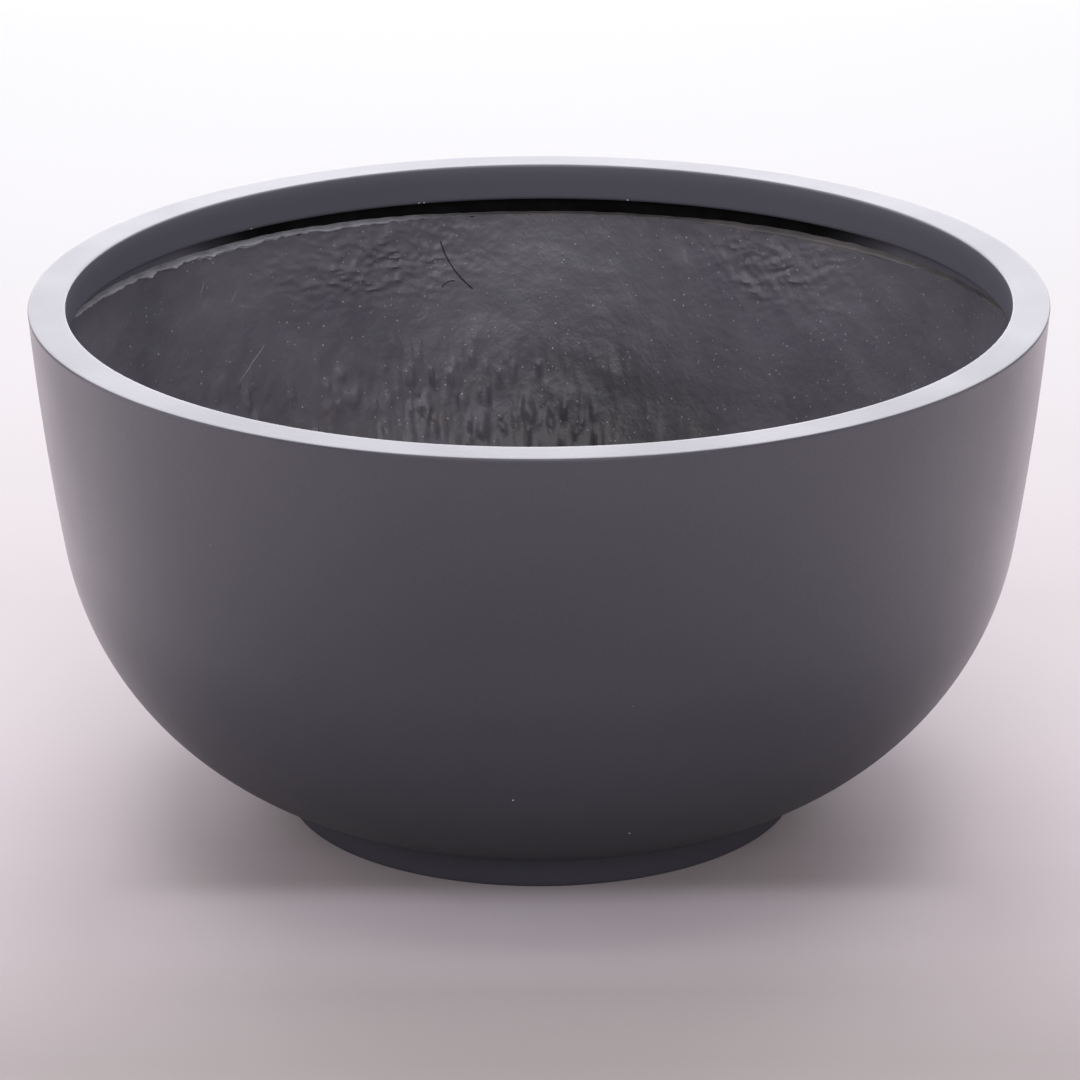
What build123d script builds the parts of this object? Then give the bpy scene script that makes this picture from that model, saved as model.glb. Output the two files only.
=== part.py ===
from build123d import *
from math import cos, hypot, radians, sin, sqrt
import os

# Fiberglass bowl planter. Millimetres, +Z up, origin at the centre of the foot's underside.
# Every piece is turned about the Z axis, so each profile is drawn as (radius, height).

# Outer form of the bowl
rim_radius = 300.0
overall_height = 313.5
rim_lean_degrees = 4.3
wall_arc_radius = 1700.0
waist_drop = 144.0
foot_radius = 153.0
foot_height = 17.5

# Moulded rim: a flat band with a lip turned down on the inside
rim_width = 22.0
rim_thickness = 5.5
lip_drop = 23.0
lip_wall = 5.0
rim_edge_radius = 1.2
lip_edge_radius = 2.0

# Moulded shell
shell_wall = 4.5
shell_floor = 5.0
drain_radius = 12.5

# Hand-laid laminate inside the shell
laminate_wall = 2.5
laminate_floor = 2.5
laminate_drop = 36.0
resin_film = 0.3

# Putty that seals the laminate's top edge
putty_height = 4.0
putty_slope = 1.6

# Foot ring, an angle section bonded under the floor
foot_wall = 7.0
flange_width = 28.0
flange_thickness = 4.0
foot_edge_radius = 1.5

# Resin fillets that hold the rim and the foot
rim_bond_leg = 8.0
foot_bond_leg = 6.0

rim_seat_height = overall_height - rim_thickness
rim_inner_radius = rim_radius - rim_width
shell_floor_top = foot_height + shell_floor
laminate_floor_top = shell_floor_top + laminate_floor
laminate_top = overall_height - laminate_drop
film_depth = shell_wall + resin_film
laminate_face_depth = film_depth + laminate_wall


def arc_centre(point, normal, radius):
    """Centre of an arc that leaves a point square to the inward normal."""
    return (point[0] + radius * normal[0], point[1] + radius * normal[1])


# The upper wall is one long arc from the rim to the waist.
rim_lean = radians(rim_lean_degrees)
rim_normal = (-cos(rim_lean), sin(rim_lean))
wall_centre = arc_centre((rim_radius, overall_height), rim_normal, wall_arc_radius)
waist_lean_sine = sin(rim_lean) + waist_drop / wall_arc_radius
waist_normal = (-sqrt(1 - waist_lean_sine**2), waist_lean_sine)
waist = (
    wall_centre[0] - wall_arc_radius * waist_normal[0],
    wall_centre[1] - wall_arc_radius * waist_normal[1],
)

# The belly is one arc that leaves the waist smoothly and ends where the foot begins.
foot_run = (foot_radius - waist[0], foot_height - waist[1])
belly_depth = foot_run[0] * waist_normal[0] + foot_run[1] * waist_normal[1]
belly_radius = hypot(*foot_run) ** 2 / (2 * belly_depth)
belly_centre = arc_centre(waist, waist_normal, belly_radius)


def waist_height(depth):
    """Height of the waist on a surface that lies this deep inside the outer one."""
    return waist[1] + depth * waist_normal[1]


def wall_radius(height, depth=0.0):
    """Radius of the wall at a height, measured this deep inside the outer surface."""
    centre, radius = (
        (wall_centre, wall_arc_radius) if height >= waist_height(depth) else (belly_centre, belly_radius)
    )
    return centre[0] + sqrt((radius - depth) ** 2 - (height - centre[1]) ** 2)


def wall_arc(top, bottom, depth):
    """One arc of the wall between two heights."""
    middle = (top + bottom) / 2
    return ThreePointArc(*[(wall_radius(z, depth), z) for z in (top, middle, bottom)])


def wall_curve(top, bottom, depth):
    """The wall from its top edge, over the waist, to the floor."""
    middle = waist_height(depth)
    return wall_arc(top, middle, depth) + wall_arc(middle, bottom, depth)


def turned(profile):
    """Solid of revolution of a closed (radius, height) profile."""
    return revolve(make_face(Plane.XZ * profile), Axis.Z)


def skin(top, bottom, floor_top, outer_depth, inner_depth):
    """A bowl-shaped skin with a flat floor and a drain hole."""
    outer = wall_curve(top, bottom, outer_depth)
    inner = wall_curve(top, floor_top, inner_depth)
    top_edge = Line((wall_radius(top, outer_depth), top), (wall_radius(top, inner_depth), top))
    floor = Polyline(
        (wall_radius(bottom, outer_depth), bottom),
        (drain_radius, bottom),
        (drain_radius, floor_top),
        (wall_radius(floor_top, inner_depth), floor_top),
    )
    return turned(outer + floor + inner + top_edge)


def bowl_shell():
    """Smooth outer moulding, open at the top, with its top edge under the rim."""
    return skin(rim_seat_height, foot_height, shell_floor_top, 0.0, shell_wall)


def inner_laminate():
    """Rough backing laid by hand inside the shell, ending below the lip."""
    return skin(laminate_top, shell_floor_top, laminate_floor_top, film_depth, laminate_face_depth)


def rim_ring():
    """Flat band with a lip turned down inside, hollow between the lip and the shell."""
    lip_back = rim_inner_radius + lip_wall
    lip_bottom = overall_height - lip_drop
    corners = [
        ((rim_radius, overall_height), rim_edge_radius),
        ((wall_radius(rim_seat_height), rim_seat_height), 0),
        ((lip_back, rim_seat_height), 0),
        ((lip_back, lip_bottom), lip_edge_radius),
        ((rim_inner_radius, lip_bottom), lip_edge_radius),
        ((rim_inner_radius, overall_height), rim_edge_radius),
    ]
    points = [point for point, _ in corners]
    radii = [radius for _, radius in corners]
    return turned(FilletPolyline(*points, radius=radii, close=True))


def rim_bond():
    """Resin fillet in the corner between the rim's underside and the shell."""
    back = wall_radius(rim_seat_height, shell_wall)
    low = rim_seat_height - rim_bond_leg
    return turned(
        Polyline(
            (back, rim_seat_height),
            (back - rim_bond_leg, rim_seat_height),
            (wall_radius(low, shell_wall), low),
            close=True,
        )
    )


def edge_putty():
    """Bead along the laminate's top edge, sloped off towards the inside of the bowl."""
    front = wall_radius(laminate_top, laminate_face_depth)
    putty_top = laminate_top + putty_height
    return turned(
        Polyline(
            (front, laminate_top),
            (wall_radius(laminate_top, film_depth), laminate_top),
            (wall_radius(putty_top, film_depth), putty_top),
            (front, putty_top - putty_slope),
            close=True,
        )
    )


def foot_ring():
    """Upright foot wall with a flange on top that is bonded to the shell's floor."""
    flange_inner = foot_radius - flange_width
    wall_inner = foot_radius - foot_wall
    flange_bottom = foot_height - flange_thickness
    corners = [
        ((foot_radius, foot_height), 0),
        ((foot_radius, 0), foot_edge_radius),
        ((wall_inner, 0), 0),
        ((wall_inner, flange_bottom), 0),
        ((flange_inner, flange_bottom), 0),
        ((flange_inner, foot_height), 0),
    ]
    points = [point for point, _ in corners]
    radii = [radius for _, radius in corners]
    return turned(FilletPolyline(*points, radius=radii, close=True))


def foot_bond():
    """Resin fillet between the flange's inner edge and the shell's floor."""
    flange_inner = foot_radius - flange_width
    return turned(
        Polyline(
            (flange_inner, foot_height),
            (flange_inner, foot_height - flange_thickness),
            (flange_inner - foot_bond_leg, foot_height),
            close=True,
        )
    )


os.makedirs("parts", exist_ok=True)
for make in (bowl_shell, rim_ring, rim_bond, inner_laminate, edge_putty, foot_ring, foot_bond):
    export_step(make(), f"parts/{make.__name__}.step")
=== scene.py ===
from math import atan2, cos, exp, hypot, pi, radians, sin, sqrt

import bmesh
import bpy
from mathutils import Euler, Matrix, Vector, noise


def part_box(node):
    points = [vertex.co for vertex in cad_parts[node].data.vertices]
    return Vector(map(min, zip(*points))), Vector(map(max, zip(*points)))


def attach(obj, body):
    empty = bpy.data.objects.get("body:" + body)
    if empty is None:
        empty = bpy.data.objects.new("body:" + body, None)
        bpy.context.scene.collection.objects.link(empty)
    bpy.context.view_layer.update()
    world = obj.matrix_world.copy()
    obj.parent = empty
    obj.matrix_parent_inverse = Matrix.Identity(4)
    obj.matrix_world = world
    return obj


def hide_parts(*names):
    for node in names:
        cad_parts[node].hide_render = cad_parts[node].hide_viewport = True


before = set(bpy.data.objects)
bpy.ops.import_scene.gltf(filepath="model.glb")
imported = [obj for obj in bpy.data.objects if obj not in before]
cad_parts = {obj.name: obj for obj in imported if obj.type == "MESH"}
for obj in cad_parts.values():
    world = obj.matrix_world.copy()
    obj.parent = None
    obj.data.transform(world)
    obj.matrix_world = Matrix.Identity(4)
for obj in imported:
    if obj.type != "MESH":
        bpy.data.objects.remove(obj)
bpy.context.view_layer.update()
scene = bpy.context.scene

# Sizes of the bowl in metres; its heights are read from the frame.
rim_low, rim_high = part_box("rim_ring")
RIM_RADIUS = 0.3
HEIGHT = rim_high.z
RIM_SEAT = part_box("bowl_shell")[1].z
LIP_BOTTOM = rim_low.z
RIM_WIDTH = 0.022
LIP_FACE = RIM_RADIUS - RIM_WIDTH
LIP_WALL = 0.005
RIM_LEAN = radians(4.3)
WALL_ARC = 1.7
WAIST_DROP = 0.144
FOOT_RADIUS = 0.153
FOOT_WALL = 0.007
FLANGE_WIDTH = 0.028
FLANGE_THICKNESS = 0.004
FOOT_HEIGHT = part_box("foot_ring")[1].z
SHELL_WALL = 0.0045
SHELL_FLOOR = 0.005
DRAIN_RADIUS = 0.0125
RESIN_FILM = 0.0003
FILM_FACE = SHELL_WALL + RESIN_FILM
LAMINATE_WALL = 0.0025
LAMINATE_FACE = FILM_FACE + LAMINATE_WALL
LAMINATE_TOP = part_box("inner_laminate")[1].z
LAMINATE_FLOOR = FOOT_HEIGHT + SHELL_FLOOR
MM = 0.001
DEEPEST_FOLD = -1.2 * MM
HIGHEST_FOLD = 4 * MM
# The laminate's mesh is fine down to this depth, which is as far as the photo shows it.
FINE_DEPTH = 0.19
# Columns round the bowl in each spun mesh.
SHELL_COLUMNS = 256
RIM_COLUMNS = 320
LAMINATE_COLUMNS = 544
PUTTY_COLUMNS = 960
FOOT_COLUMNS = 192
# Edges that turn by more than this stay sharp in the shading.
SHARP_ANGLE = radians(50)
# Places on the inside wall are given as run round the bowl at this radius, and depth.
TURN_RADIUS = 0.285


def arc_centre(point, normal, radius):
    return Vector(point) + radius * Vector(normal)


# The wall is two smooth arcs: a long one down to the waist and the belly below it.
wall_centre = arc_centre((RIM_RADIUS, HEIGHT), (-cos(RIM_LEAN), sin(RIM_LEAN)), WALL_ARC)
waist_sine = sin(RIM_LEAN) + WAIST_DROP / WALL_ARC
waist_normal = Vector((-sqrt(1 - waist_sine**2), waist_sine))
waist = wall_centre - WALL_ARC * waist_normal
foot_run = Vector((FOOT_RADIUS, FOOT_HEIGHT)) - waist
BELLY_ARC = foot_run.length_squared / (2 * foot_run.dot(waist_normal))
belly_centre = arc_centre(waist, waist_normal, BELLY_ARC)


def wall_radius(height, depth=0.0):
    """Radius of the wall at a height, this deep inside the outer surface."""
    if height >= waist.y + depth * waist_normal.y:
        centre, radius = wall_centre, WALL_ARC
    else:
        centre, radius = belly_centre, BELLY_ARC
    return centre.x + sqrt((radius - depth) ** 2 - (height - centre.y) ** 2)


def wall_points(top, bottom, depth, step):
    """Points down the wall at even steps along its curve."""
    fine = 400
    heights = [top + (bottom - top) * k / fine for k in range(fine + 1)]
    path = [Vector((wall_radius(z, depth), z)) for z in heights]
    lengths = [0.0]
    for a, b in zip(path, path[1:]):
        lengths.append(lengths[-1] + (b - a).length)
    count = max(2, round(lengths[-1] / step))
    points = []
    k = 0
    for n in range(count + 1):
        target = lengths[-1] * n / count
        while k < fine - 1 and lengths[k + 1] < target:
            k += 1
        share = (target - lengths[k]) / (lengths[k + 1] - lengths[k])
        points.append(path[k].lerp(path[k + 1], share))
    return points


def straight(a, b, step):
    """Points along a straight run, without its first one."""
    a, b = Vector(a), Vector(b)
    count = max(1, round((b - a).length / step))
    return [a.lerp(b, n / count) for n in range(1, count + 1)]


def quarter(centre, radius, start, end, steps=5):
    """Points on a rounded edge between two angles in degrees."""
    centre = Vector(centre)
    angles = [radians(start + (end - start) * n / steps) for n in range(steps + 1)]
    return [centre + radius * Vector((cos(a), sin(a))) for a in angles]


def new_object(name, bm):
    """Turns a bmesh into a smooth shaded object in the scene."""
    bmesh.ops.recalc_face_normals(bm, faces=bm.faces)
    mesh = bpy.data.meshes.new(name)
    bm.to_mesh(mesh)
    bm.free()
    mesh.shade_smooth()
    mesh.set_sharp_from_angle(angle=SHARP_ANGLE)
    piece = bpy.data.objects.new(name, mesh)
    scene.collection.objects.link(piece)
    return piece


def spun(profile, steps, sectors=16):
    """A closed (radius, height) profile turned round the Z axis: one sector, then its copies."""
    bm = bmesh.new()
    share = 2 * pi / sectors
    verts = [bm.verts.new((p[0], 0, p[1])) for p in profile]
    edges = [bm.edges.new((a, b)) for a, b in zip(verts, verts[1:] + verts[:1])]
    bmesh.ops.spin(
        bm, geom=verts + edges, cent=(0, 0, 0), axis=(0, 0, 1),
        angle=share, steps=steps // sectors,
    )
    sector = bm.verts[:] + bm.edges[:] + bm.faces[:]
    bmesh.ops.spin(
        bm, geom=sector, cent=(0, 0, 0), axis=(0, 0, 1),
        angle=2 * pi - share, steps=sectors - 1, use_duplicate=True,
    )
    bmesh.ops.remove_doubles(bm, verts=bm.verts, dist=1e-6)
    return bm


def bent(angle, radius, height):
    """A point of the bowl: angle from the back in radians, positive to the right."""
    return Vector((radius * sin(angle), radius * cos(angle), height))


def from_back(point):
    """The angle from the back of a point, as bent() takes it."""
    return atan2(point.x, point.y)


def on_wall(angle, depth, inset):
    """A point on the inside wall: depth below the rim, inset from the outer surface."""
    height = HEIGHT - depth
    return bent(angle, wall_radius(height, inset), height)


def step_up(value, low, high):
    """Eases from nothing at the low value to one at the high value."""
    share = min(max((value - low) / (high - low), 0.0), 1.0)
    return share * share * (3 - 2 * share)


def between(angle, rise, fall):
    """One between two stretches of angles in degrees, easing to nothing outside them."""
    rising = step_up(angle, radians(rise[0]), radians(rise[1]))
    return rising * (1 - step_up(angle, radians(fall[0]), radians(fall[1])))


def window(value, centre, reach):
    """One at the centre, fading softly to both sides."""
    return exp(-(((value - centre) / reach) ** 2))


def waves(x, y, wide, tall, seed):
    """Smooth noise between about minus one and one, with waves of the stated size."""
    return noise.noise(Vector((x / wide, y / tall, seed)))


def folds(x, y, turn, long, short, seed):
    """Sharp folds that run along one direction of the wall."""
    along = x * cos(turn) + y * sin(turn)
    across = y * cos(turn) - x * sin(turn)
    crest = 1 - 2.4 * abs(waves(along, across, long, short, seed))
    return max(crest, 0.0) ** 2


def make_shell():
    """Smooth moulded shell with a flat floor and the drain hole."""
    floor_top = FOOT_HEIGHT + SHELL_FLOOR
    inner = wall_points(RIM_SEAT, floor_top, SHELL_WALL, 0.012)
    profile = wall_points(RIM_SEAT, FOOT_HEIGHT, 0.0, 0.006)
    profile += straight(profile[-1], (DRAIN_RADIUS, FOOT_HEIGHT), 0.02)
    profile += straight((DRAIN_RADIUS, FOOT_HEIGHT), (DRAIN_RADIUS, floor_top), 0.01)
    profile += straight((DRAIN_RADIUS, floor_top), inner[-1], 0.02)
    profile += inner[-2::-1]
    return new_object("shell_wall", spun(profile, SHELL_COLUMNS))


def make_rim():
    """Flat rim band with its return lip."""
    edge = 0.0012
    lip = 0.002
    back = LIP_FACE + LIP_WALL
    face_top = HEIGHT - edge
    profile = quarter((LIP_FACE + edge, face_top), edge, 180, 90)
    profile += straight(profile[-1], (RIM_RADIUS - edge, HEIGHT), 0.002)
    profile += quarter((RIM_RADIUS - edge, face_top), edge, 90, 0)[1:]
    profile += straight(profile[-1], (wall_radius(RIM_SEAT), RIM_SEAT), 0.0015)
    profile += straight(profile[-1], (back, RIM_SEAT), 0.003)
    profile += straight(profile[-1], (back, LIP_BOTTOM + lip), 0.003)
    profile += quarter((back - lip, LIP_BOTTOM + lip), lip, 0, -90)[1:]
    profile += quarter((LIP_FACE + lip, LIP_BOTTOM + lip), lip, 270, 180)
    profile += straight(profile[-1], (LIP_FACE, face_top), 0.0012)[:-1]
    return new_object("rim", spun(profile, RIM_COLUMNS))


def drips(x, y):
    """Runs of resin down the lower wall, thickest on the left."""
    place = step_up(y, 98 * MM, 140 * MM) * (1 - 0.85 * step_up(x, -20 * MM, 75 * MM))
    place *= 1 - step_up(y, 190 * MM, 225 * MM)
    if place == 0.0:
        return 0.0
    drift = x + 3 * MM * waves(x, y, 30 * MM, 30 * MM, 5.3)
    run = waves(drift, y, 3 * MM, 15 * MM, 1.7) - 0.06
    wide_run = waves(drift, y, 6 * MM, 26 * MM, 9.1) - 0.1
    patch = 0.5 + waves(x, y, 34 * MM, 40 * MM, 2.9)
    return place * max(patch, 0.4) * (7 * MM * max(run, 0.0) + 4 * MM * max(wide_run, 0.0))


def crumples(x, y):
    """Creased cloth behind on the left, crossing folds behind on the right."""
    left = window(x, -112 * MM, 62 * MM) * window(y, 60 * MM, 24 * MM)
    right = window(x, 158 * MM, 46 * MM) * window(y, 58 * MM, 25 * MM)
    lay = 0.0
    if max(left, right) < 0.03:
        return lay
    bend_x = x + 5 * MM * waves(x, y, 16 * MM, 16 * MM, 3.1)
    bend_y = y + 5 * MM * waves(x, y, 16 * MM, 16 * MM, 7.7)
    if left > 0.03:
        lay += left * 2.1 * MM * folds(bend_x, bend_y, radians(24), 15 * MM, 5 * MM, 0.4)
        lay += left * 1.8 * MM * folds(bend_x, bend_y, radians(-28), 12 * MM, 4.5 * MM, 6.2)
    if right > 0.03:
        lay += right * 2.4 * MM * folds(bend_x, bend_y, radians(-32), 24 * MM, 5 * MM, 8.8)
        lay += right * 2.2 * MM * folds(bend_x, bend_y, radians(58), 26 * MM, 5.5 * MM, 4.9)
    return lay


def lay_up(x, y):
    """How far the hand-laid face stands in from its even thickness."""
    uneven = 1.2 * MM * waves(x, y, 46 * MM, 60 * MM, 0.2)
    uneven += 0.7 * MM * waves(x, y, 15 * MM, 18 * MM, 3.9)
    grain = 0.22 * MM * waves(x, y, 5 * MM, 5 * MM, 6.6)
    return uneven + grain + drips(x, y) + crumples(x, y)


def laminate_edge(angle):
    """Depth of the torn top edge of the inner layer."""
    x = angle * TURN_RADIUS
    low_right = between(angle, (14, 30), (44, 60))
    tear = 1.1 * MM * waves(x, 0, 9 * MM, 1, 2.2) + 0.5 * MM * waves(x, 0, 3 * MM, 1, 5.5)
    return HEIGHT - LAMINATE_TOP + 2.2 * MM * low_right + tear


def crowd_back(angle, share):
    """Brings the columns of a spun mesh closer together at the back of the bowl."""
    return angle - share * sin(angle)


def make_laminate():
    """Glass mat laid by hand inside the shell, with its relief on the inner face."""
    low = LAMINATE_FLOOR
    face_floor = low + LAMINATE_WALL
    fine = wall_points(LAMINATE_TOP, HEIGHT - FINE_DEPTH, LAMINATE_FACE, 0.00145)
    coarse = wall_points(HEIGHT - FINE_DEPTH, face_floor, LAMINATE_FACE, 0.008)[1:]
    profile = wall_points(LAMINATE_TOP, low, FILM_FACE, 0.012)
    profile += straight(profile[-1], (DRAIN_RADIUS, low), 0.02)
    profile += straight(profile[-1], (DRAIN_RADIUS, face_floor), 0.01)
    profile += straight(profile[-1], coarse[-1], 0.008)
    profile += (fine + coarse)[-2::-1]
    bm = spun(profile, LAMINATE_COLUMNS)
    raised = bm.verts.layers.float.new("raised")
    for vert in bm.verts:
        angle = crowd_back(from_back(vert.co), 0.42)
        radius, height = hypot(vert.co.x, vert.co.y), vert.co.z
        x, depth = angle * TURN_RADIUS, HEIGHT - height
        inset = wall_radius(height) - radius if height > face_floor + 1e-5 else LAMINATE_FACE
        near_top = 1 - step_up(depth, 36 * MM, 60 * MM)
        height -= near_top * (laminate_edge(angle) - (HEIGHT - LAMINATE_TOP))
        if height > face_floor + 1e-5:
            lift = 0.0
            if inset > LAMINATE_FACE - 0.4 * MM:
                lift = min(max(lay_up(x, depth), DEEPEST_FOLD), HIGHEST_FOLD)
                lift *= 1 - 0.9 * step_up(depth, 0.24, 0.27)
                vert[raised] = lift
            radius = wall_radius(height, inset + lift)
        elif radius > DRAIN_RADIUS + 1e-5 and height > low + 1e-5:
            height += 0.4 * MM * waves(vert.co.x, vert.co.y, 20 * MM, 20 * MM, 8.1) + 0.2 * MM
        vert.co = bent(angle, radius, height)
    piece = new_object("laminate", bm)
    lay_uv(piece)
    return piece


def lay_uv(piece):
    """Unrolls the wall: metres round the bowl and metres below the rim."""
    mesh = piece.data
    layer = mesh.uv_layers.new(name="lay")
    for polygon in mesh.polygons:
        middle = from_back(polygon.center)
        for loop in polygon.loop_indices:
            place = mesh.vertices[mesh.loops[loop].vertex_index].co
            angle = from_back(place)
            angle += 2 * pi * round((middle - angle) / (2 * pi))
            layer.data[loop].uv = (angle * TURN_RADIUS, HEIGHT - place.z)


def bead_shape(angle):
    """Top depth, bottom depth and thickness of the putty bead at an angle."""
    x = angle * TURN_RADIUS
    left = between(angle, (-74, -62), (-24, -6))
    right = between(angle, (14, 30), (48, 66))
    rough = waves(x, 0, 11 * MM, 1, 3.3)
    ragged = waves(x, 0, 4 * MM, 1, 7.9)
    edge = HEIGHT - LAMINATE_TOP
    top = edge + (0.6 * rough - 1.1 - 1.5 * left - 0.6 * right) * MM
    bottom = edge + (0.7 + 0.4 * left + 2.4 * right + 2.2 * rough * left + 1.5 * ragged) * MM
    thick = (0.1 + (2.3 + 1.4 * rough + ragged) * left + 0.6 * right) * MM
    return top, bottom, thick


def make_putty():
    """Bead of putty smoothed by hand over the edge of the inner layer."""
    # Before the loop a point's radius only tells front from back, and its height is its share.
    rows = 9
    behind = RIM_RADIUS - 0.15
    base = [(RIM_RADIUS + 0.2 * n / (rows - 1), -n / (rows - 1)) for n in range(rows)]
    base += [(behind, -1.0), (behind, -0.5), (behind, 0.0)]
    bm = spun(base, PUTTY_COLUMNS)
    pale = bm.verts.layers.float.new("pale")
    for vert in bm.verts:
        angle = crowd_back(from_back(vert.co), 0.3)
        at_back = hypot(vert.co.x, vert.co.y) < RIM_RADIUS - 0.1
        share = -vert.co.z
        top, bottom, thick = bead_shape(angle)
        depth = top + (bottom - top) * share
        if at_back:
            inset = FILM_FACE if share < 0.6 else FILM_FACE + 1.5 * MM
        else:
            crown = sin(pi * min(share * 1.15, 1)) ** 0.7
            over_laminate = (LAMINATE_FACE - FILM_FACE + 0.1 * MM) * step_up(share, 0, 0.5)
            inset = FILM_FACE + over_laminate + thick * crown
        vert[pale] = step_up(-angle, radians(4), radians(24))
        vert.co = on_wall(angle, depth, inset)
    return new_object("putty", bm)


def make_foot():
    """Foot ring: an upright wall with a flange that is bonded under the floor."""
    edge = 0.0015
    wall_inner = FOOT_RADIUS - FOOT_WALL
    flange_inner = FOOT_RADIUS - FLANGE_WIDTH
    flange_bottom = FOOT_HEIGHT - FLANGE_THICKNESS
    profile = [Vector((FOOT_RADIUS, FOOT_HEIGHT))]
    profile += straight(profile[-1], (FOOT_RADIUS, edge), 0.002)
    profile += quarter((FOOT_RADIUS - edge, edge), edge, 0, -90)[1:]
    profile += straight(profile[-1], (wall_inner, 0), 0.002)
    profile += straight(profile[-1], (wall_inner, flange_bottom), 0.004)
    profile += straight(profile[-1], (flange_inner, flange_bottom), 0.006)
    profile += straight(profile[-1], (flange_inner, FOOT_HEIGHT), 0.002)
    profile += straight(profile[-1], (FOOT_RADIUS, FOOT_HEIGHT), 0.006)[:-1]
    return new_object("foot", spun(profile, FOOT_COLUMNS))


def strand(bm, x, depth, length, turn, sweep, thick):
    """One glass strand as a bent tube, first flat in (x, depth), then laid on the wall."""
    reach = length / sweep
    made = bmesh.ops.create_circle(bm, segments=6, radius=thick, cap_ends=True)
    ring = made["verts"]
    bmesh.ops.rotate(bm, verts=ring, cent=(0, 0, 0), matrix=Matrix.Rotation(pi / 2, 3, "X"))
    bmesh.ops.translate(bm, verts=ring, vec=(reach, 0, 0))
    faces = list({face for vert in ring for face in vert.link_faces})
    spun_out = bmesh.ops.spin(
        bm, geom=ring + list({edge for face in faces for edge in face.edges}) + faces,
        cent=(0, 0, 0), axis=(0, 0, 1), angle=sweep, steps=max(6, round(length / (3 * MM))),
    )
    tube = set(ring) | {item for item in spun_out["geom_last"] if isinstance(item, bmesh.types.BMVert)}
    grown = set(tube)
    while grown:
        grown = {edge.other_vert(vert) for vert in grown for edge in vert.link_edges} - tube
        tube |= grown
    for vert in tube:
        flat = Matrix.Rotation(turn, 3, "Z") @ (vert.co - Vector((reach, 0, 0)))
        sx, sy = x + flat.x, depth + flat.y
        stand = max(lay_up(sx, sy), DEEPEST_FOLD) + vert.co.z + 0.3 * thick
        vert.co = on_wall(sx / TURN_RADIUS, sy, LAMINATE_FACE + stand)


def make_strands(name, lays):
    """Several strands as one object."""
    bm = bmesh.new()
    for lay in lays:
        strand(bm, *lay)
    return new_object(name, bm)


def make_nibs():
    """Dots of dust caught in the paint, on the lip's lower edge and on the outer wall."""
    bm = bmesh.new()
    on_lip = (-40.4, -15.9, -15.2, 11.8)
    on_belly = ((-176.5, 0.0973), (167.4, 0.0634))
    places = [bent(radians(a), LIP_FACE + 0.3 * MM, LIP_BOTTOM + 1.0 * MM) for a in on_lip]
    places += [bent(radians(a), wall_radius(z) - 0.1 * MM, z) for a, z in on_belly]
    flattened = Matrix.Diagonal((1, 1, 0.7)).to_4x4()
    for place in places:
        laid = Matrix.Translation(place) @ flattened
        bmesh.ops.create_icosphere(bm, subdivisions=2, radius=0.7 * MM, matrix=laid)
    return new_object("paint_nibs", bm)


def set_material(piece, material):
    piece.data.materials.clear()
    piece.data.materials.append(material)


class Finish:
    """A principled material with helpers for its procedural nodes."""

    def __init__(self, name, roughness):
        self.material = bpy.data.materials.new(name)
        self.material.use_nodes = True
        self.tree = self.material.node_tree
        self.shader = self.tree.nodes["Principled BSDF"]
        self.shader.inputs["Roughness"].default_value = roughness
        self.place = self.add("ShaderNodeTexCoord").outputs["Object"]

    def add(self, kind, links=(), **values):
        node = self.tree.nodes.new(kind)
        for key, value in values.items():
            setattr(node, key, value)
        for socket, source in links:
            self.put(node.inputs[socket], source)
        return node

    def put(self, socket, source):
        if isinstance(source, bpy.types.NodeSocket):
            self.tree.links.new(source, socket)
        else:
            socket.default_value = source

    def math(self, operation, a, b=0.0):
        return self.add("ShaderNodeMath", ((0, a), (1, b)), operation=operation).outputs[0]

    def split(self, vector):
        """The three parts of a vector."""
        return self.add("ShaderNodeSeparateXYZ", ((0, vector),)).outputs

    def distance(self, place, centre):
        node = self.add("ShaderNodeVectorMath", ((0, place), (1, centre)), operation="DISTANCE")
        return node.outputs["Value"]

    def cloud(self, scale, detail=3.0, place=None):
        links = (("Vector", place or self.place), ("Scale", scale), ("Detail", detail))
        return self.add("ShaderNodeTexNoise", links).outputs[0]

    def span(self, value, low, high, to_low=0.0, to_high=1.0):
        limits = (("From Min", low), ("From Max", high), ("To Min", to_low), ("To Max", to_high))
        return self.add("ShaderNodeMapRange", (("Value", value), *limits)).outputs[0]

    def mix(self, share, a, b):
        """From colour a to colour b; 6 and 7 are the mix node's colour inputs, 2 its colour output."""
        node = self.add("ShaderNodeMix", data_type="RGBA")
        self.put(node.inputs[0], share)
        self.put(node.inputs[6], a if isinstance(a, bpy.types.NodeSocket) else (*a, 1))
        self.put(node.inputs[7], b if isinstance(b, bpy.types.NodeSocket) else (*b, 1))
        return node.outputs[2]

    def flecks(self, scale, size, chosen):
        """Small round dots: one in some of the cells of a scattered grid."""
        cell = self.add("ShaderNodeTexVoronoi", (("Vector", self.place), ("Scale", scale)))
        pick = self.add("ShaderNodeSeparateColor", ((0, cell.outputs["Color"]),))
        near = self.span(cell.outputs["Distance"], size, size * 0.5)
        return self.math("MULTIPLY", near, self.math("LESS_THAN", pick.outputs[0], chosen))

    def relief(self, height, distance):
        bump = self.add("ShaderNodeBump", (("Height", height), ("Distance", distance)))
        self.put(self.shader.inputs["Normal"], bump.outputs[0])

    def finish(self, color):
        self.put(self.shader.inputs["Base Color"], color)
        return self.material


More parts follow.
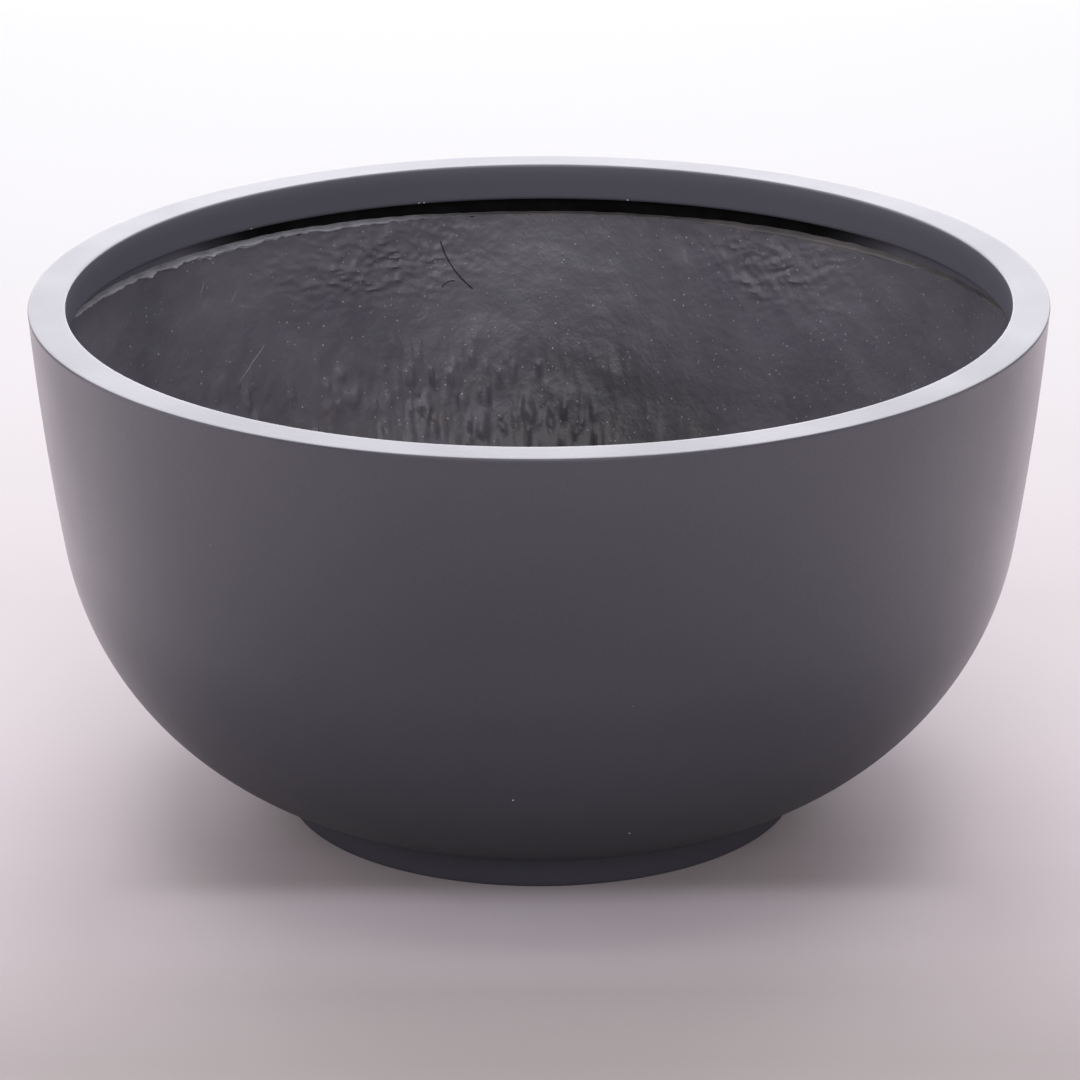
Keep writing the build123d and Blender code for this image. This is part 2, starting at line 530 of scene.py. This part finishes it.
def paint_finish(name, on_rim):
    """Satin charcoal paint with a faint orange peel and a little dust; on the rim, painted light on the
    lip's face, strongest near its top edge.
    """
    look = Finish(name, 0.38)
    clouds = look.span(look.cloud(9), 0.35, 0.65)
    color = look.mix(clouds, PAINT_DARK, PAINT_LIGHT)
    grain = look.span(look.cloud(900, 1), 0.3, 0.7)
    color = look.mix(look.math("MULTIPLY", grain, 0.12), color, PAINT_GRAIN)
    color = look.mix(look.flecks(60, 0.022, 0.1), color, PAINT_DUST)
    split = look.split(look.place)
    squares = [look.math("POWER", split[k], 2.0) for k in (0, 1)]
    radius = look.math("SQRT", look.math("ADD", *squares))
    if on_rim:
        # Painted light: the lip's face is made lighter, and lighter still towards its top edge.
        face = look.span(radius, LIP_FACE + 1.2 * MM, LIP_FACE + 0.4 * MM)
        color = look.mix(look.math("MULTIPLY", face, 0.5), color, LIP_PAINTED_LIGHT)
        top = look.span(split[2], HEIGHT - 0.011, HEIGHT - 0.001)
        color = look.mix(look.math("MULTIPLY", look.math("MULTIPLY", top, top), face), color, LIP_PAINTED_LIGHT)
    roughness = look.span(look.cloud(14), 0.3, 0.7, 0.36, 0.41)
    look.put(look.shader.inputs["Roughness"], roughness)
    look.relief(look.cloud(420, 2), 0.00006)
    return look.finish(color)


def strand_print(look, lay, turn, seed):
    """Chopped strands showing through the paint in one direction."""
    links = (("Vector", lay), ("Location", (seed, seed, 0)), ("Rotation", (0, 0, turn)))
    turned = look.add("ShaderNodeMapping", links)
    drawn = look.add("ShaderNodeMapping", (("Vector", turned.outputs[0]), ("Scale", (60, 520, 1))))
    return look.span(look.cloud(1.0, 1, drawn.outputs[0]), 0.52, 0.66)


def inside_finish():
    """Rough charcoal coat over the hand-laid glass, browner where resin has run; with painted
    highlights on raised crests low down, a painted pool of light high behind and painted shade deeper
    down.
    """
    look = Finish("rough_inside_paint", 0.4)
    lay = look.add("ShaderNodeUVMap", uv_map="lay").outputs[0]
    across, depth = look.split(lay)[:2]
    raised = look.add("ShaderNodeAttribute", attribute_name="raised").outputs["Fac"]
    clouds = look.span(look.cloud(16, 4), 0.3, 0.7)
    color = look.mix(clouds, INSIDE_DARK, INSIDE_LIGHT)
    low = look.span(depth, 0.11, 0.19)
    brown = look.math("MULTIPLY", low, look.span(look.cloud(45, 3), 0.4, 0.65))
    color = look.mix(look.math("MULTIPLY", brown, 0.5), color, RESIN_BROWN)
    # Painted highlight: the raised runs low on the wall are made paler at their crests.
    lit_crests = look.math("MULTIPLY", look.span(raised, 0.0012, 0.0032), low)
    color = look.mix(look.math("MULTIPLY", lit_crests, 0.3), color, CREST_PAINTED_HIGHLIGHT)
    strands = strand_print(look, lay, 0.5, 0.0)
    for turn, seed in ((-0.8, 3.0), (1.9, 7.0)):
        strands = look.math("MAXIMUM", strands, strand_print(look, lay, turn, seed))
    color = look.mix(look.math("MULTIPLY", strands, 0.05), color, STRAND_SHEEN)
    # Painted light: a lighter pool high on the wall behind.
    lit = look.span(look.distance(lay, (0.03, 0.085, 0)), 0.13, 0.02)
    color = look.mix(look.math("MULTIPLY", lit, 0.33), color, INSIDE_PAINTED_LIGHT)
    # Painted shade: darker deeper down the wall behind.
    painted_shade = look.span(look.distance(lay, (0.045, 0.18, 0)), 0.125, 0.02)
    color = look.mix(look.math("MULTIPLY", painted_shade, 0.8), color, INSIDE_PAINTED_SHADE)
    more_right = look.span(across, -0.25, 0.2, 0.25, 0.85)
    specks = look.math("MAXIMUM", look.flecks(130, 0.09, 0.55), look.flecks(230, 0.12, more_right))
    color = look.mix(look.math("MULTIPLY", specks, 0.75), color, SPECK)
    height = look.math("ADD", look.cloud(330, 3), look.math("MULTIPLY", strands, 0.1))
    look.relief(height, 0.00032)
    return look.finish(color)


def putty_finish():
    """Pale putty, darker where it is thinly smeared."""
    look = Finish("edge_putty", 0.6)
    pale = look.add("ShaderNodeAttribute", attribute_name="pale").outputs["Fac"]
    thin = look.mix(look.span(look.cloud(60), 0.35, 0.65), *PUTTY_THIN)
    thick = look.mix(look.span(look.cloud(120), 0.3, 0.7), *PUTTY_THICK)
    look.relief(look.cloud(500, 3), 0.0002)
    return look.finish(look.mix(pale, thin, thick))


def resin_finish():
    """Bonding resin, amber grey with small bubbles."""
    look = Finish("bonding_resin", 0.35)
    color = look.mix(look.span(look.cloud(80), 0.35, 0.65), *RESIN_COLORS)
    color = look.mix(look.flecks(300, 0.2, 0.2), color, RESIN_BUBBLE)
    look.relief(look.cloud(300, 2), 0.0002)
    return look.finish(color)


def hollow_shade_finish():
    """Near-black painted shade in the hollow behind the lip, easing to paint colour towards the sides.
    """
    look = Finish("painted_hollow_shade", 0.8)
    look.shader.inputs["Specular IOR Level"].default_value = 0.08
    x, y = look.split(look.place)[:2]
    turn = look.math("ABSOLUTE", look.math("ARCTAN2", x, y))
    past_shade = look.span(turn, radians(37), radians(50))
    dark = look.mix(look.span(look.cloud(70), 0.35, 0.65), *HOLLOW_SHADE_COLORS)
    return look.finish(look.mix(look.math("MULTIPLY", past_shade, past_shade), dark, OVERSPRAY))


def shade_hollow(piece):
    """Gives the shell's face in the hollow behind the lip its near-black painted shade."""
    piece.data.materials.append(hollow_shade_finish())
    for polygon in piece.data.polygons:
        place = polygon.center
        inner_face = hypot(place.x, place.y) < wall_radius(place.z) - 0.003
        if inner_face and place.z > HEIGHT - 0.05:
            polygon.material_index = 1


def fleck_finish(name, dark, light):
    """Plain matt colour, slightly clouded, for the strands and the dust."""
    look = Finish(name, 0.6)
    return look.finish(look.mix(look.span(look.cloud(400), 0.4, 0.6), dark, light))


# Colours, in linear light.
# Painted light on the rim's lip.
LIP_PAINTED_LIGHT = (0.13, 0.124, 0.154)
PAINT_DARK = (0.0505, 0.0478, 0.063)
PAINT_LIGHT = (0.0552, 0.052, 0.068)
PAINT_GRAIN = (0.11, 0.105, 0.12)
PAINT_DUST = (0.32, 0.31, 0.34)
# Painted light high on the inside wall behind.
INSIDE_PAINTED_LIGHT = (0.2, 0.188, 0.225)
# Painted shade deeper down the inside wall behind.
INSIDE_PAINTED_SHADE = (0.036, 0.033, 0.039)
INSIDE_DARK = (0.1, 0.093, 0.115)
INSIDE_LIGHT = (0.14, 0.131, 0.158)
RESIN_BROWN = (0.13, 0.108, 0.1)
# Painted highlight on the crests of the raised runs.
CREST_PAINTED_HIGHLIGHT = (0.24, 0.22, 0.22)
STRAND_SHEEN = (0.22, 0.215, 0.23)
SPECK = (0.55, 0.53, 0.55)
PUTTY_THIN = ((0.13, 0.122, 0.13), (0.19, 0.172, 0.175))
PUTTY_THICK = ((0.33, 0.32, 0.36), (0.54, 0.525, 0.585))
RESIN_COLORS = ((0.09, 0.08, 0.07), (0.14, 0.12, 0.1))
RESIN_BUBBLE = (0.22, 0.2, 0.17)
# Painted shade in the hollow behind the lip.
HOLLOW_SHADE_COLORS = ((0.003, 0.003, 0.003), (0.008, 0.007, 0.008))
OVERSPRAY = (0.14, 0.132, 0.16)

paint = paint_finish("satin_charcoal_paint", False)
rim_paint = paint_finish("rim_paint", True)
inside = inside_finish()
putty_look = putty_finish()
resin = resin_finish()
for maker, node, slot, material in (
    (make_shell, "bowl_shell", "painted_outside", paint),
    (make_rim, "rim_ring", "painted_outside", rim_paint),
    (make_laminate, "inner_laminate", "painted_inside", inside),
    (make_putty, "edge_putty", "edge_putty", putty_look),
    (make_foot, "foot_ring", "painted_outside", paint),
):
    piece = maker()
    set_material(piece, material)
    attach(piece, "root")
    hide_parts(node)
# Painted shade: the hollow behind the lip is coloured near-black.
shade_hollow(bpy.data.objects["shell_wall"])
for node in ("rim_bond", "foot_bond"):
    set_material(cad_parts[node], resin)

# Loose strands, each as place round the wall, depth, length, direction, bend and thickness.
dark_strands = (
    (-43 * MM, 83 * MM, 38 * MM, radians(130), 0.62, 0.5 * MM),
    (-63 * MM, 81 * MM, 10 * MM, radians(-150), 1.3, 0.35 * MM),
)
pale_strands = (
    (-190 * MM, 102 * MM, 33 * MM, radians(48), 0.12, 0.4 * MM),
    (-233 * MM, 52 * MM, 9 * MM, radians(20), 0.3, 0.35 * MM),
    (-205 * MM, 60 * MM, 12 * MM, radians(30), 0.3, 0.3 * MM),
)
dark_look = fleck_finish("dark_strand", (0.02, 0.018, 0.022), (0.03, 0.028, 0.03))
pale_look = fleck_finish("pale_strand", (0.16, 0.155, 0.16), (0.22, 0.21, 0.22))
dust_look = fleck_finish("dust", (0.3, 0.29, 0.31), (0.45, 0.43, 0.45))
small = (
    (make_strands("dark_strands", dark_strands), dark_look),
    (make_strands("pale_strands", pale_strands), pale_look),
    (make_nibs(), dust_look),
)
for piece, material in small:
    set_material(piece, material)
    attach(piece, "root")


# What the camera sees of the floor, by place from front to back: it looks white behind.
FLOOR_NEAR = -0.9
FLOOR_FAR = 1.9
FLOOR_STOPS = (
    (-0.9, (0.39, 0.34, 0.353)),
    (-0.388, (0.432, 0.383, 0.393)),
    (-0.243, (0.555, 0.492, 0.514)),
    (-0.099, (0.616, 0.545, 0.573)),
    (0.142, (0.573, 0.524, 0.541)),
    (0.323, (0.518, 0.477, 0.489)),
    (0.746, (0.515, 0.492, 0.503)),
    (1.216, (0.481, 0.475, 0.479)),
    (1.9, (0.42, 0.424, 0.416)),
)
# Painted light on the floor before the foot, for the camera only.
FLOOR_PAINTED_LIGHT = (0.95, 0.84, 0.94)
# Painted shadow on the floor beside the foot, for the camera only.
FLOOR_PAINTED_SHADOW = (0.1, 0.06, 0.08)
# What the floor throws back on to the bowl: little from under it, more from further off.
BOUNCE_UNDER = (0.29, 0.265, 0.275)
BOUNCE_AROUND = (0.95, 0.85, 0.89)
# World strength as light on the bowl, and as the backdrop that the camera sees.
WORLD_LIGHT = 0.147
WORLD_BACKDROP = 0.8


def make_floor():
    """Pale floor that fills the whole view and keeps the bowl's shadow; for the camera it adds painted
    light before the foot and painted shadow beside it.
    """
    bm = bmesh.new()
    bmesh.ops.create_grid(bm, x_segments=1, y_segments=1, size=8)
    floor = new_object("floor", bm)
    look = Finish("pale_floor", 0.9)
    look.shader.inputs["Specular IOR Level"].default_value = 0.0
    x, y = look.split(look.place)[:2]
    along = look.span(y, FLOOR_NEAR, FLOOR_FAR)
    ramp = look.add("ShaderNodeValToRGB", ((0, along),))
    stops = ramp.color_ramp.elements
    while len(stops) < len(FLOOR_STOPS):
        stops.new(1.0)
    for stop, (at, color) in zip(stops, FLOOR_STOPS):
        stop.position = (at - FLOOR_NEAR) / (FLOOR_FAR - FLOOR_NEAR)
        stop.color = (*color, 1)
    width = look.math("ABSOLUTE", x)
    forward = look.math("MULTIPLY", y, -1.0)
    # Painted light on the floor just before the foot, lifting the shadow there, for the camera only.
    painted_light = look.math("MULTIPLY", look.span(forward, 0.148, 0.178), look.span(forward, 0.3, 0.19))
    painted_light = look.math("MULTIPLY", painted_light, look.span(width, 0.26, 0.02))
    shown = look.mix(look.math("MULTIPLY", painted_light, 0.8), ramp.outputs[0], FLOOR_PAINTED_LIGHT)
    # Painted shadow on the floor beside the foot, for the camera only.
    painted_shadow = look.math("MULTIPLY", look.span(forward, 0.165, 0.14), look.span(forward, 0.02, 0.09))
    painted_shadow = look.math("MULTIPLY", painted_shadow, look.span(width, 0.26, 0.15))
    shown = look.mix(look.math("MULTIPLY", painted_shadow, 0.28), shown, FLOOR_PAINTED_SHADOW)
    bounce = look.span(look.distance(look.place, (0, -0.3, 0)), 0.32, 0.7)
    thrown = look.mix(bounce, BOUNCE_UNDER, BOUNCE_AROUND)
    seen = look.add("ShaderNodeLightPath").outputs["Is Camera Ray"]
    floor.data.materials.append(look.finish(look.mix(seen, thrown, shown)))


def add_area(name, place, target, width, height, power, color=(1, 1, 1)):
    """A soft lamp that faces its target and stays out of the picture."""
    lamp = bpy.data.lights.new(name, "AREA")
    lamp.shape = "RECTANGLE"
    lamp.size = width
    lamp.size_y = height
    lamp.energy = power
    lamp.color = color
    holder = bpy.data.objects.new(name, lamp)
    holder.location = place
    holder.rotation_euler = (Vector(target) - Vector(place)).to_track_quat("-Z", "Y").to_euler()
    holder.visible_camera = False
    scene.collection.objects.link(holder)


def make_light():
    """Soft studio light: the strongest lamp stands behind, weak ones fill in from all sides."""
    world = bpy.data.worlds.new("studio")
    scene.world = world
    world.use_nodes = True
    back = world.node_tree.nodes["Background"]
    back.inputs["Color"].default_value = (1, 1, 1, 1)
    seen = world.node_tree.nodes.new("ShaderNodeLightPath")
    strength = world.node_tree.nodes.new("ShaderNodeMapRange")
    strength.inputs["To Min"].default_value = WORLD_LIGHT
    strength.inputs["To Max"].default_value = WORLD_BACKDROP
    world.node_tree.links.new(seen.outputs["Is Camera Ray"], strength.inputs["Value"])
    world.node_tree.links.new(strength.outputs[0], back.inputs["Strength"])
    add_area("back_softbox", (0, 2.6, 1.3), (0, 0, 0.3), 4.0, 2.2, 132, (0.96, 0.945, 1.0))
    add_area("top_softbox", (0, 0.2, 2.4), (0, 0, 0.3), 2.4, 2.4, 45)
    add_area("front_high", (0, -1.9, 2.5), (0, 0, 0.3), 2.4, 1.4, 5)
    add_area("front_low", (0, -3.2, 1.5), (0, 0, 0.3), 3.0, 1.2, 47)
    add_area("left_softbox", (-2.6, 0.2, 1.2), (0, 0, 0.2), 2.4, 2.0, 30)
    add_area("right_softbox", (2.6, 0.2, 1.2), (0, 0, 0.2), 2.4, 2.0, 19)


def make_camera():
    """Camera as in the photo: about three metres away, looking down twenty degrees."""
    distance = 3.01995
    above_rim = 0.93488
    pitch = 0.346068
    roll = -0.004336
    focal_pixels = 5363.3
    photo_pixels = 1080
    camera = bpy.data.cameras.new("camera")
    camera.sensor_width = 36
    camera.lens = focal_pixels / photo_pixels * 36
    holder = bpy.data.objects.new("camera", camera)
    holder.matrix_world = (
        Matrix.Translation((0, -distance, HEIGHT + above_rim))
        @ Euler((pi / 2 - pitch, 0, 0)).to_matrix().to_4x4()
        @ Matrix.Rotation(roll, 4, "Z")
    )
    scene.collection.objects.link(holder)
    scene.camera = holder


make_floor()
make_light()
make_camera()
scene.view_settings.view_transform = "Standard"
